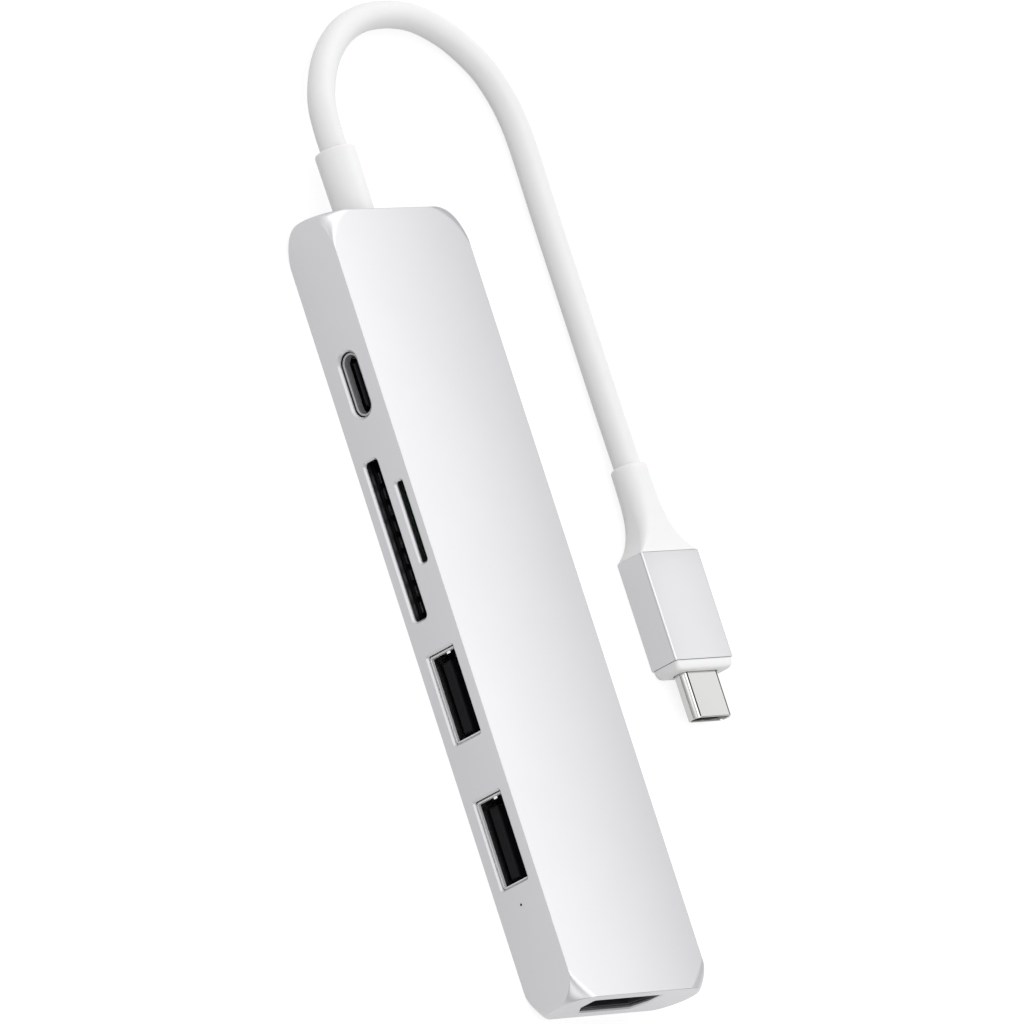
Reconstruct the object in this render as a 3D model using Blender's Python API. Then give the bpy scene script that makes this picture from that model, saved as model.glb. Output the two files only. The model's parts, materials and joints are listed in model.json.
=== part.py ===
"""Seven-port hub with a captive cord and plug, built as separate pieces.

Frame: origin at the centre of the underside, +Z up through the top face,
+Y towards the cord's exit, -X through the long face that holds the ports.
Dimensions below are in millimetres; MM turns them into metres. Y is counted
from a datum between the ports, and DATUM moves it to the body's middle.
"""

import math

import bmesh
import bpy
from mathutils import Vector

MM = 0.001

# Hub body
HUB_L = 121.2
HUB_W = 29.2
HUB_T = 9.2
HUB_Y = 0.6
END_R = HUB_T / 2
FAR_CORNER = (6.2, 0.55)
NEAR_CORNER = (4.4, 0.15)
WALL = 1.6
PORT_WALL = 0.5
CEILING = 1.0
EDGE = 0.15
GAP = 0.3
MID_Z = HUB_T / 2
PORT_X = -HUB_W / 2
HDMI_Y = HUB_Y - HUB_L / 2
CORD_Y = HUB_Y + HUB_L / 2
MIDDLE = (0, HUB_Y)
DATUM = Vector((0, HUB_Y, 0))

# Cover under the body
COVER_T = 0.8
COVER_SEAT_Z = 1.2
COVER_WALL = 0.9

# Main board
BOARD_Z = 4.8
BOARD_T = 0.8
BOARD_TOP = BOARD_Z + BOARD_T
BOARD_X = 12.3
BOARD_Y = 58.1

# Ports: centre along the face, centre height
USB_C_Y, USB_C_Z = 35.9, 4.8
SD_Y, SD_Z = 12.5, 3.1
MICRO_Y, MICRO_Z = 14.05, 7.0
USB_A_Y = (-11.85, -34.15)
USB_A_Z = 4.6
LED_Y, LED_Z = -44.0, 4.6
HDMI_X, HDMI_Z = -1.3, 4.65
EXIT_X = -2.6

# Standard connector sizes
USB_A_OUT = (13.14, 5.72)
USB_A_IN = (12.5, 5.12)
USB_C_OUT = (8.94, 3.2)
USB_C_IN = (8.34, 2.56)
SD_ROOM = (25.2, 1.85, 4.25)
MICRO_ROOM = (11.6, 6.45, 7.5)
HDMI_IN = (14.0, 4.55)
HDMI_CUT = (1.9, 2.4)
PLUG_TIP = (8.25, 2.4)

# Cord and plug
CORD_D = 4.1
CORD_Z = CORD_D / 2 + 0.02
SLEEVE_D = 5.95
SLEEVE_END_Y = 72.0
PLUG_X = 40.9
PLUG_W = 12.7
PLUG_T = 5.2
PLUG_Z = PLUG_T / 2
PLUG_BACK_Y = 7.85
PLUG_FRONT_Y = -8.95
PLUG_RING_Y = 21.9
TIP_Y = -17.5

CORD_ROUTE = (
    (EXIT_X, SLEEVE_END_Y + 0.3, 4.6),
    (-2.55, 74.9, 4.56),
    (-2.0, 78.7, 4.4),
    (-0.5, 81.95, 4.1),
    (2.1, 85.6, 3.7),
    (5.5, 88.8, 3.2),
    (10.1, 91.7, 2.6),
    (15.8, 93.65, 2.15),
    (22.0, 94.1, CORD_Z),
    (27.3, 93.2, CORD_Z),
    (32.2, 90.8, CORD_Z),
    (35.6, 88.0, CORD_Z),
    (38.3, 84.8, CORD_Z),
    (40.1, 81.0, CORD_Z),
    (41.0, 77.5, CORD_Z),
    (41.35, 74.1, CORD_Z),
    (41.4, 70.1, CORD_Z),
    (41.3, 62.1, CORD_Z),
    (41.3, 52.1, CORD_Z),
    (41.3, 42.1, CORD_Z),
    (41.2, 32.0, 2.15),
    (PLUG_X, PLUG_RING_Y + 0.3, 2.5),
)

MATERIALS = {
    "anodised": ((0.72, 0.72, 0.74), 1.0, 0.35),
    "cover": ((0.62, 0.62, 0.64), 1.0, 0.45),
    "steel": ((0.60, 0.60, 0.61), 1.0, 0.25),
    "gold": ((0.83, 0.60, 0.22), 1.0, 0.3),
    "black": ((0.02, 0.02, 0.022), 0.0, 0.5),
    "chip": ((0.03, 0.03, 0.032), 0.0, 0.6),
    "board": ((0.02, 0.09, 0.05), 0.0, 0.5),
    "white": ((0.88, 0.88, 0.88), 0.0, 0.45),
    "clear": ((0.8, 0.85, 0.88), 0.0, 0.2),
    "tape": ((0.1, 0.1, 0.1), 0.0, 0.8),
    "pad": ((0.35, 0.42, 0.55), 0.0, 0.8),
    "ceramic": ((0.55, 0.42, 0.28), 0.0, 0.6),
    "red": ((0.55, 0.04, 0.03), 0.0, 0.5),
}


def clear_scene():
    for item in list(bpy.data.objects):
        bpy.data.objects.remove(item, do_unlink=True)


def give_material(item, key):
    colour, metallic, roughness = MATERIALS[key]
    material = bpy.data.materials.new(item.name)
    material.use_nodes = True
    shader = material.node_tree.nodes["Principled BSDF"]
    shader.inputs["Base Color"].default_value = (*colour, 1.0)
    shader.inputs["Metallic"].default_value = metallic
    shader.inputs["Roughness"].default_value = roughness
    item.data.materials.append(material)


def solid(name, points, faces, key=None):
    """A closed mesh object from points in millimetres; no key makes it a cutter."""
    mesh = bpy.data.meshes.new(name)
    mesh.from_pydata([(Vector(point) - DATUM) * MM for point in points], [], faces)
    form = bmesh.new()
    form.from_mesh(mesh)
    bmesh.ops.recalc_face_normals(form, faces=form.faces)
    form.to_mesh(mesh)
    form.free()
    item = bpy.data.objects.new(name, mesh)
    bpy.context.scene.collection.objects.link(item)
    if key:
        give_material(item, key)
    else:
        item.hide_render = True
        item.display_type = "WIRE"
    return item


def loft(name, rings, key=None, closed=False):
    """Joins equal rings of points; closed runs the last ring back to the first."""
    count = len(rings[0])
    points = [point for ring in rings for point in ring]
    faces = []
    last = len(rings) if closed else len(rings) - 1
    for low in range(last):
        high = (low + 1) % len(rings)
        for side in range(count):
            after = (side + 1) % count
            faces.append(
                (
                    low * count + side,
                    low * count + after,
                    high * count + after,
                    high * count + side,
                )
            )
    if not closed:
        faces.append(tuple(range(count)))
        faces.append(tuple(range((len(rings) - 1) * count, len(rings) * count)))
    return solid(name, points, faces, key)


def rounded(width, height, radius, steps=3):
    """A rectangle with round corners, as (u, v) about its centre."""
    radius = min(radius, width / 2 - 0.001, height / 2 - 0.001)
    ring = []
    for quarter, (su, sv) in enumerate(((1, 1), (-1, 1), (-1, -1), (1, -1))):
        cu = su * (width / 2 - radius)
        cv = sv * (height / 2 - radius)
        for step in range(steps + 1):
            turn = math.pi / 2 * (quarter + step / steps)
            ring.append((cu + radius * math.cos(turn), cv + radius * math.sin(turn)))
    return ring


def rectangle(width, height):
    half_w, half_h = width / 2, height / 2
    return [(half_w, half_h), (-half_w, half_h), (-half_w, -half_h), (half_w, -half_h)]


def place(ring, axis, at, centre):
    """Puts a flat ring square to an axis at a position along it."""
    cu, cv = centre
    if axis == "x":
        return [(at, cu + u, cv + v) for u, v in ring]
    if axis == "y":
        return [(cu + u, at, cv + v) for u, v in ring]
    return [(cu + u, cv + v, at) for u, v in ring]


def prism(name, ring, axis, start, end, centre, key=None):
    rings = [place(ring, axis, at, centre) for at in (start, end)]
    return loft(name, rings, key)


def block(name, low, high, key=None):
    """An axis-aligned box between two corners."""
    ring = rectangle(high[0] - low[0], high[1] - low[1])
    centre = ((low[0] + high[0]) / 2, (low[1] + high[1]) / 2)
    return prism(name, ring, "z", low[2], high[2], centre, key)


def tube(name, outer, inner, axis, start, end, centre, key=None):
    """A hollow length, open at both ends."""
    rings = [
        place(outer, axis, start, centre),
        place(outer, axis, end, centre),
        place(inner, axis, end, centre),
        place(inner, axis, start, centre),
    ]
    return loft(name, rings, key, closed=True)


def cup(name, outer, inner, axis, mouth, end, floor, centre, key=None):
    """A hollow length with a back wall between floor and end."""
    rings = [
        place(outer, axis, end, centre),
        place(outer, axis, mouth, centre),
        place(inner, axis, mouth, centre),
        place(inner, axis, floor, centre),
    ]
    return loft(name, rings, key)


def circle(radius, sides):
    turns = [2 * math.pi * (side + 0.5) / sides for side in range(sides)]
    return [(radius * math.cos(turn), radius * math.sin(turn)) for turn in turns]


def lathe(name, profile, axis, centre, key=None, sides=16):
    """A turned piece from (position, radius) steps along an axis."""
    rings = [place(circle(radius, sides), axis, at, centre) for at, radius in profile]
    return loft(name, rings, key)


def boolean(item, other, operation):
    step = item.modifiers.new(other.name, "BOOLEAN")
    step.operation = operation
    step.solver = "EXACT"
    step.object = other
    return item


def cut(item, *cutters):
    for cutter in cutters:
        boolean(item, cutter, "DIFFERENCE")
    return item


def add(item, *extras):
    for extra in extras:
        extra.hide_render = True
        extra.display_type = "WIRE"
        boolean(item, extra, "UNION")
    return item


def cornered(half_x, half_y, corner):
    """A rectangle with its four corners cut back at 45 degrees."""
    inner_x, inner_y = half_x - corner, half_y - corner
    return [
        (half_x, inner_y),
        (inner_x, half_y),
        (-inner_x, half_y),
        (-half_x, inner_y),
        (-half_x, -inner_y),
        (-inner_x, -half_y),
        (inner_x, -half_y),
        (half_x, -inner_y),
    ]


def hub_slice(inset, bend):
    """A level outline; bend runs from 0 at mid height to 1 at the two faces."""
    half_x, half_y = HUB_W / 2 - inset, HUB_L / 2 - inset
    ring = []
    for sx, sy in ((1, 1), (-1, 1), (-1, -1), (1, -1)):
        reach, fullness = FAR_CORNER if sy > 0 else NEAR_CORNER
        size = max(reach * bend, 0.05)
        part = []
        for step in range(5):
            t = step / 4
            slack = (1 - fullness) * t * (1 - t)
            off_x, off_y = size * (t * t + slack), size * ((1 - t) ** 2 + slack)
            part.append((sx * (half_x - off_x), sy * (half_y - off_y)))
        ring += part if sx == sy else part[::-1]
    return ring


def hub_form(name, key):
    """Flat long faces and flat ends, each with a half-round outline at its ends."""
    steps = 8
    rings = []
    for step in range(-steps, steps + 1):
        turn = math.pi / 2 * step / steps
        height = MID_Z + END_R * math.sin(turn)
        inset = EDGE if abs(step) == steps else 0.0
        ring = hub_slice(inset, 1 - math.cos(turn))
        rings.append(place(ring, "z", height, MIDDLE))
    return loft(name, rings, key)


def port_opening(name, ring, flare, axis, face, centre, depth=4.0):
    """A cutter through a wall: a small flare at the face, then straight in."""
    inward = 1 if face < 0 else -1
    wide = [(u + math.copysign(flare, u), v + math.copysign(flare, v)) for u, v in ring]
    rings = [
        place(wide, axis, face - inward * 1.0, centre),
        place(wide, axis, face, centre),
        place(ring, axis, face + inward * flare, centre),
        place(ring, axis, face + inward * depth, centre),
    ]
    return loft(name, rings)


def housing():
    body = hub_form("housing", "anodised")
    room = (HUB_W / 2 - WALL, HUB_L / 2 - WALL)
    seat = (HUB_W / 2 - COVER_WALL, HUB_L / 2 - COVER_WALL)
    cavity = place(cornered(*room, 3.9), "z", -1, MIDDLE)
    top = place(cornered(*room, 3.9), "z", HUB_T - CEILING, MIDDLE)
    cut(body, loft("cut_cavity", [cavity, top]))
    rebate = cornered(*seat, 4.3)
    cut(body, prism("cut_rebate", rebate, "z", -1, COVER_SEAT_Z, MIDDLE))
    for index, (x, y) in enumerate(BOSSES):
        boss = prism(
            f"boss_{index}", circle(1.7, 12), "z", BOARD_TOP + 0.3, HUB_T - 0.5, (x, y)
        )
        add(body, boss)
        pilot = prism(
            f"cut_pilot_{index}",
            circle(0.85, 10),
            "z",
            BOARD_TOP - 1,
            HUB_T - CEILING,
            (x, y),
        )
        cut(body, pilot)
    usb_a = rounded(13.5, 5.2, 0.25, 2)
    micro_y = MICRO_Y - 0.2
    openings = [
        ("usb_c", rounded(9.95, 3.5, 1.75, 5), 0.2, USB_C_Y, USB_C_Z, 10.2, 3.8),
        ("sd", rounded(24.5, 2.55, 0.6, 3), 0.2, SD_Y, SD_Z - 0.05, 26.4, 2.9),
        ("microsd", rounded(12.5, 1.3, 0.4, 3), 0.2, micro_y, MICRO_Z, 13.2, 1.8),
        ("usb_a_1", usb_a, 0.2, USB_A_Y[0], USB_A_Z, 13.9, 6.2),
        ("usb_a_2", usb_a, 0.2, USB_A_Y[1], USB_A_Z, 13.9, 6.2),
    ]
    for name, ring, flare, y, z, wide, high in openings:
        mouth = port_opening(f"cut_{name}", ring, flare, "x", PORT_X, (y, z))
        ends = (PORT_X + PORT_WALL, PORT_X + 3)
        ring = rounded(wide, high, 0.3, 1)
        pocket = prism(f"cut_{name}_pocket", ring, "x", *ends, (y, z))
        cut(body, mouth, pocket)
    hdmi = hdmi_ring(14.7, 5.0)
    centre = (HDMI_X, HDMI_Z)
    mouth = port_opening("cut_hdmi", hdmi, 0.2, "y", HDMI_Y, centre)
    ends = (HDMI_Y + PORT_WALL, HDMI_Y + 3)
    pocket = prism("cut_hdmi_pocket", rectangle(15.2, 5.7), "y", *ends, centre)
    cut(body, mouth, pocket)
    pinhole = lathe(
        "cut_led",
        [
            (PORT_X - 1, 0.2),
            (PORT_X + 0.55, 0.2),
            (PORT_X + 0.55, 0.35),
            (PORT_X + 4, 0.35),
        ],
        "x",
        (LED_Y, LED_Z),
        None,
        10,
    )
    hole = circle(SLEEVE_D / 2 + 0.1, 16)
    way_out = prism("cut_exit", hole, "y", CORD_Y - 4, CORD_Y + 1, (EXIT_X, MID_Z))
    cut(body, pinhole, way_out)


def hdmi_ring(width, height):
    """Wide side up, its two lower corners cut back."""
    half_w, half_h = width / 2, height / 2
    return [
        (half_w, half_h),
        (-half_w, half_h),
        (-half_w, -half_h + HDMI_CUT[1]),
        (-half_w + HDMI_CUT[0], -half_h),
        (half_w - HDMI_CUT[0], -half_h),
        (half_w, -half_h + HDMI_CUT[1]),
    ]


BOSSES = ((10.2, 56.0), (-10.2, 49.5), (10.2, -1.8), (-9.6, -46.8))


def cover():
    half_x = HUB_W / 2 - COVER_WALL - GAP
    half_y = HUB_L / 2 - COVER_WALL - GAP
    ring = cornered(half_x, half_y, 4.3)
    rings = [
        place(cornered(half_x - 0.15, half_y - 0.15, 4.3), "z", 0.0, MIDDLE),
        place(ring, "z", 0.15, MIDDLE),
        place(ring, "z", COVER_T, MIDDLE),
    ]
    loft("bottom_cover", rings, "cover")
    outer = cornered(half_x - 0.05, half_y - 0.05, 4.3)
    inner = cornered(HUB_W / 2 - WALL + 0.15, HUB_L / 2 - WALL + 0.15, 4.15)
    tube(
        "cover_adhesive_tape",
        outer,
        inner,
        "z",
        COVER_T + 0.1,
        COVER_SEAT_Z - 0.1,
        MIDDLE,
        "tape",
    )


def board():
    ring = cornered(BOARD_X, BOARD_Y, 3.2)
    plate = prism("main_board", ring, "z", BOARD_Z, BOARD_TOP, MIDDLE, "board")
    depth = (BOARD_Z - 1, BOARD_TOP + 1)
    notches = [((-14, y - 7.0), (0.0, y + 7.0)) for y in USB_A_Y]
    notches.append(((-14, USB_C_Y - 4.9), (-5.6, USB_C_Y + 4.9)))
    notches.append(((HDMI_X - 7.9, -62), (HDMI_X + 7.9, -48.5)))
    notches.append(((EXIT_X - 4.2, 51.6), (EXIT_X + 4.2, 62)))
    for index, (low, high) in enumerate(notches):
        cut(plate, block(f"cut_notch_{index}", (*low, depth[0]), (*high, depth[1])))
    for index, (x, y) in enumerate(BOSSES):
        hole = prism(f"cut_hole_{index}", circle(0.95, 10), "z", *depth, (x, y))
        cut(plate, hole)
        screw = [
            (BOARD_Z - 0.95, 0.9),
            (BOARD_Z - 0.75, 1.35),
            (BOARD_Z - 0.2, 1.35),
            (BOARD_Z - 0.2, 0.55),
            (HUB_T - CEILING - 0.4, 0.55),
        ]
        head = lathe(f"board_screw_{index + 1}", screw, "z", (x, y), "steel", 12)
        slot = block(
            f"cut_slot_{index}",
            (x - 0.7, y - 0.15, BOARD_Z - 2),
            (x + 0.7, y + 0.15, BOARD_Z - 0.65),
        )
        cut(head, slot)


def usb_a_port(number, y):
    centre = (y, USB_A_Z)
    front, back = PORT_X + PORT_WALL + 0.1, -0.6
    shell = cup(
        f"usb_a_{number}_shell",
        rounded(*USB_A_OUT, 0.5, 2),
        rounded(*USB_A_IN, 0.2, 2),
        "x",
        front,
        back,
        back - 0.3,
        centre,
        "steel",
    )
    for side in (-1, 1):
        window = block(
            f"cut_window_{number}_{side}",
            (front + 5.0, y + side * 3.0 - 1.1, USB_A_Z + 1.8),
            (front + 7.5, y + side * 3.0 + 1.1, USB_A_Z + 4.0),
        )
        cut(shell, window)
    tongue_z = USB_A_Z - USB_A_IN[1] / 2 + 0.3 + 0.92
    tongue = block(
        f"usb_a_{number}_tongue",
        (front + 1.6, y - 5.55, tongue_z - 0.92),
        (back - 0.6, y + 5.55, tongue_z + 0.92),
        "black",
    )
    base = block(
        f"usb_a_{number}_base",
        (back - 3.6, y - 5.9, USB_A_Z - 2.3),
        (back - 0.6, y + 5.9, USB_A_Z + 2.3),
    )
    add(tongue, base)
    rail = block(
        f"usb_a_{number}_contacts",
        (back - 4.4, y - 4.4, tongue_z + 1.1),
        (back - 3.9, y + 4.4, tongue_z + 1.3),
        "gold",
    )
    for index in range(4):
        at = y + (index - 1.5) * 2.3
        blade = block(
            f"usb_a_{number}_blade_{index}",
            (front + 3.5, at - 0.5, tongue_z + 1.1),
            (back - 4.1, at + 0.5, tongue_z + 1.3),
        )
        add(rail, blade)


def usb_c_port():
    centre = (USB_C_Y, USB_C_Z)
    front, back = PORT_X + PORT_WALL + 0.1, -6.2
    cup(
        "usb_c_port_shell",
        rounded(*USB_C_OUT, 1.6, 5),
        rounded(*USB_C_IN, 1.28, 5),
        "x",
        front,
        back,
        back - 0.3,
        centre,
        "steel",
    )
    tongue = prism(
        "usb_c_port_tongue",
        rounded(6.7, 0.7, 0.1, 1),
        "x",
        front + 0.7,
        back - 0.6,
        centre,
        "black",
    )
    base = prism(
        "usb_c_port_base", rounded(7.6, 1.9, 0.6, 2), "x", back - 2.0, back - 0.6, centre
    )
    add(tongue, base)


def card_sockets():
    """Each socket is a moulded tray, open to the front, under a steel lid."""
    front = PORT_X + WALL + GAP
    wide, floor, roof = SD_ROOM
    tray = block(
        "sd_socket_base",
        (front, SD_Y - 12.95, SD_Z - 1.55),
        (11.3, SD_Y + 12.95, roof - 0.05),
        "black",
    )
    room = block(
        "cut_sd_room",
        (front - 1, SD_Y - wide / 2, floor),
        (9.0, SD_Y + wide / 2, roof + 1),
    )
    cut(tray, room)
    block(
        "sd_socket_lid",
        (front, SD_Y - 12.95, roof),
        (11.3, SD_Y + 12.95, roof + 0.35),
        "steel",
    )
    comb = block(
        "sd_socket_contacts",
        (7.6, SD_Y - 10.9, floor + 0.12),
        (8.7, SD_Y + 10.9, floor + 0.27),
        "steel",
    )
    for index in range(9):
        at = SD_Y + (index - 4) * 2.5
        finger = block(
            f"sd_finger_{index}",
            (front + 0.35, at - 0.8, floor + 0.12),
            (8.0, at + 0.8, floor + 0.27),
        )
        add(comb, finger)
    wide, floor, roof = MICRO_ROOM
    tray = block(
        "microsd_socket_base",
        (front, MICRO_Y - 6.1, floor - 0.3),
        (0.8, MICRO_Y + 6.1, roof - 0.05),
        "black",
    )
    room = block(
        "cut_microsd_room",
        (front - 1, MICRO_Y - wide / 2, floor),
        (-0.6, MICRO_Y + wide / 2, roof + 1),
    )
    cut(tray, room)
    block(
        "microsd_socket_lid",
        (front, MICRO_Y - 6.1, roof),
        (0.8, MICRO_Y + 6.1, roof + 0.25),
        "steel",
    )
    comb = block(
        "microsd_socket_contacts",
        (-2.0, MICRO_Y - 4.4, floor + 0.11),
        (-1.2, MICRO_Y + 4.2, floor + 0.22),
        "gold",
    )
    for index in range(8):
        at = MICRO_Y + (index - 3.5) * 1.1
        finger = block(
            f"microsd_finger_{index}",
            (front + 3.0, at - 0.3, floor + 0.11),
            (-1.6, at + 0.3, floor + 0.22),
        )
        add(comb, finger)


def levers():
    """Sprung arms that a card pushes aside; each turns on its own root."""
    arms = (
        ("sd_detect_lever", (-3.5, SD_Y + 11.4, SD_Z - 0.6), 6.0, -0.8, 1.2),
        ("sd_protect_lever", (-3.5, SD_Y - 11.4, SD_Z - 0.6), 6.0, 0.8, 1.2),
        ("microsd_detect_lever", (-7.0, MICRO_Y + 4.9, MICRO_Z - 0.3), 3.6, -0.6, 0.6),
    )
    for name, (x, y, z), length, lean, height in arms:
        side = math.copysign(0.25, lean)
        arm = [
            (x, y + side),
            (x + length * 0.75, y + lean),
            (x + length, y + lean * 0.4),
            (x + length, y + lean * 0.4 - side * 1.2),
            (x + length * 0.75, y + lean - side * 1.2),
            (x, y - side),
        ]
        rings = [[(u, v, at) for u, v in arm] for at in (z, z + height)]
        loft(name, rings, "gold")


def hdmi_port():
    centre = (HDMI_X, HDMI_Z)
    front, back = HDMI_Y + PORT_WALL + 0.1, -49.2
    cup(
        "hdmi_shell",
        hdmi_ring(HDMI_IN[0] + 0.6, HDMI_IN[1] + 0.6),
        hdmi_ring(*HDMI_IN),
        "y",
        front,
        back,
        back - 0.3,
        centre,
        "steel",
    )
    tongue = block(
        "hdmi_tongue",
        (HDMI_X - 5.9, front + 1.6, HDMI_Z - 0.1),
        (HDMI_X + 5.9, back - 0.6, HDMI_Z + 0.9),
        "black",
    )
    base = block(
        "hdmi_base",
        (HDMI_X - 5.2, back - 2.6, HDMI_Z - 1.9),
        (HDMI_X + 5.2, back - 0.6, HDMI_Z + 1.9),
    )
    add(tongue, base)
    rail = block(
        "hdmi_contacts",
        (HDMI_X - 4.8, back - 3.4, HDMI_Z - 0.6),
        (HDMI_X + 4.8, back - 2.9, HDMI_Z - 0.4),
        "gold",
    )
    for index in range(10):
        at = HDMI_X + (index - 4.5) * 1.0
        blade = block(
            f"hdmi_blade_{index}",
            (at - 0.2, front + 2.0, HDMI_Z - 0.6),
            (at + 0.2, back - 3.1, HDMI_Z - 0.4),
        )
        add(rail, blade)


def indicator():
    """A clear rod behind the pinhole, lit by a small lamp on the board."""
    rod = lathe(
        "light_pipe",
        [
            (PORT_X + 0.7, 0.22),
            (PORT_X + 1.9, 0.22),
            (PORT_X + 1.9, 0.6),
            (PORT_X + 2.3, 0.6),
        ],
        "x",
        (LED_Y, LED_Z),
        "clear",
        10,
    )
    foot = block(
        "light_pipe_foot",
        (PORT_X + 2.1, LED_Y - 0.9, BOARD_Z - 1.9),
        (PORT_X + 3.3, LED_Y + 0.9, BOARD_Z - 0.9),
    )
    neck = block(
        "light_pipe_neck",
        (PORT_X + 1.95, LED_Y - 0.35, BOARD_Z - 1.5),
        (PORT_X + 2.25, LED_Y + 0.35, LED_Z + 0.35),
    )
    add(rod, foot, neck)
    block(
        "indicator_led",
        (PORT_X + 3.5, LED_Y - 0.5, BOARD_Z - 0.75),
        (PORT_X + 5.1, LED_Y + 0.5, BOARD_Z - 0.1),
        "white",
    )


def packages():
    """Chips and passive parts, each clear of the board by a solder gap."""
    top = BOARD_TOP + 0.1
    under = BOARD_Z - 0.1
    chips = (
        ("usb_controller_chip", (5.2, -20.5), (7.0, 7.0), (top, top + 0.85)),
        ("video_converter_chip", (5.6, -40.5), (8.0, 8.0), (top, top + 0.8)),
        ("power_controller_chip", (3.0, 31.5), (5.0, 5.0), (top, top + 0.8)),
        ("card_reader_chip", (6.8, 10.5), (6.0, 6.0), (top, top + 0.8)),
        ("flash_memory_chip", (5.8, -9.5), (5.2, 4.0), (top, top + 1.2)),
    )
    for name, (x, y), size, (low, high) in chips:
        rings = [
            place(rectangle(*size), "z", low, (x, y)),
            place(rectangle(*size), "z", high - 0.1, (x, y)),
            place(rectangle(size[0] - 0.2, size[1] - 0.2), "z", high, (x, y)),
        ]
        loft(name, rings, "chip")
    prism(
        "clock_crystal",
        rounded(3.2, 2.5, 0.4, 2),
        "z",
        top,
        top + 0.7,
        (5.2, -28.5),
        "steel",
    )
    prism(
        "power_inductor",
        rounded(5.0, 5.0, 1.0, 2),
        "z",
        under - 2.0,
        under,
        (3.0, 44.0),
        "chip",
    )
    lathe(
        "bulk_capacitor_1",
        [(under - 2.6, 1.9), (under - 2.4, 2.1), (under, 2.1)],
        "z",
        (9.0, 44.0),
        "steel",
        14,
    )
    block("bulk_capacitor_2", (5.2, 31.0, under - 1.6), (8.6, 33.6, under), "ceramic")
    block("output_capacitor", (4.5, -36.0, under - 1.6), (7.7, -33.4, under), "ceramic")
    cup(
        "video_shield_can",
        rectangle(10.6, 10.6),
        rectangle(10.2, 10.2),
        "z",
        top + 0.05,
        top + 1.45,
        top + 1.25,
        (5.6, -40.5),
        "steel",
    )
    block(
        "controller_heat_pad",
        (2.0, -23.7, top + 1.0),
        (8.4, -17.3, HUB_T - CEILING - 0.1),
        "pad",
    )


def cord_exit():
    """The moulded sleeve, its clamp inside, and the wires on to the board."""
    inner_y = CORD_Y - WALL
    profile = [
        (inner_y - 5.0, 2.45),
        (inner_y - 0.35, 2.45),
        (inner_y - 0.35, 2.6),
        (CORD_Y + 0.1, 2.6),
        (CORD_Y + 0.4, SLEEVE_D / 2 - 0.08),
        (SLEEVE_END_Y - 0.6, SLEEVE_D / 2 + 0.06),
        (SLEEVE_END_Y - 0.2, SLEEVE_D / 2 - 0.05),
        (SLEEVE_END_Y, SLEEVE_D / 2 - 0.35),
    ]
    sleeve = lathe("hub_strain_relief", profile, "y", (EXIT_X, MID_Z), "white", 20)
    flange = block(
        "hub_relief_flange",
        (EXIT_X - 3.7, inner_y - 2.1, MID_Z - 2.85),
        (EXIT_X + 3.7, inner_y - 0.35, MID_Z + 3.1),
    )
    add(sleeve, flange)
    tube(
        "cord_clamp",
        circle(3.05, 16),
        circle(2.7, 16),
        "y",
        inner_y - 4.6,
        inner_y - 2.5,
        (EXIT_X, MID_Z),
        "steel",
    )
    header = block(
        "wire_header",
        (EXIT_X - 4.0, 44.6, BOARD_TOP + 0.1),
        (EXIT_X + 4.0, 48.2, BOARD_TOP + 2.1),
        "white",
    )
    for index in range(4):
        at = EXIT_X + (index - 1.5) * 1.9
        pocket = block(
            f"cut_pocket_{index}",
            (at - 0.6, 46.9, BOARD_TOP + 0.5),
            (at + 0.6, 49, BOARD_TOP + 1.75),
        )
        cut(header, pocket)
    names = ("power_wire", "ground_wire", "data_wire_1", "data_wire_2")
    keys = ("red", "black", "white", "white")
    for index, (name, key) in enumerate(zip(names, keys)):
        end_x = EXIT_X + (index - 1.5) * 1.9
        start_x = EXIT_X + (index - 1.5) * 1.15
        route = (
            (start_x, inner_y - 5.3, MID_Z + 0.6),
            (start_x, inner_y - 6.2, MID_Z + 0.9),
            (end_x, 51.2, BOARD_TOP + 1.05),
            (end_x, 49.4, BOARD_TOP + 1.12),
            (end_x, 47.2, BOARD_TOP + 1.12),
        )
        wire(name, route, 0.42, key, 2, 1)


def smooth(points, every):
    """Points along a Catmull-Rom curve, the ends kept."""
    points = [Vector(point) for point in points]
    ends = [2 * points[0] - points[1], *points, 2 * points[-1] - points[-2]]
    found = []
    for index in range(1, len(ends) - 2):
        before, start, end, after = ends[index - 1 : index + 3]
        for step in range(every):
            t = step / every
            found.append(
                0.5
                * (
                    2 * start
                    + (end - before) * t
                    + (2 * before - 5 * start + 4 * end - after) * t * t
                    + (3 * start - before - 3 * end + after) * t**3
                )
            )
    return [*found, points[-1]]


def wire(name, route, radius, key, every, resolution):
    curve = bpy.data.curves.new(name, "CURVE")
    curve.dimensions = "3D"
    curve.bevel_depth = radius * MM
    curve.bevel_resolution = resolution
    curve.use_fill_caps = True
    points = smooth(route, every)
    line = curve.splines.new("POLY")
    line.points.add(len(points) - 1)
    for target, point in zip(line.points, points):
        target.co = (*((point - DATUM) * MM), 1.0)
    item = bpy.data.objects.new(name, curve)
    bpy.context.scene.collection.objects.link(item)
    give_material(item, key)
    return item


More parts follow.
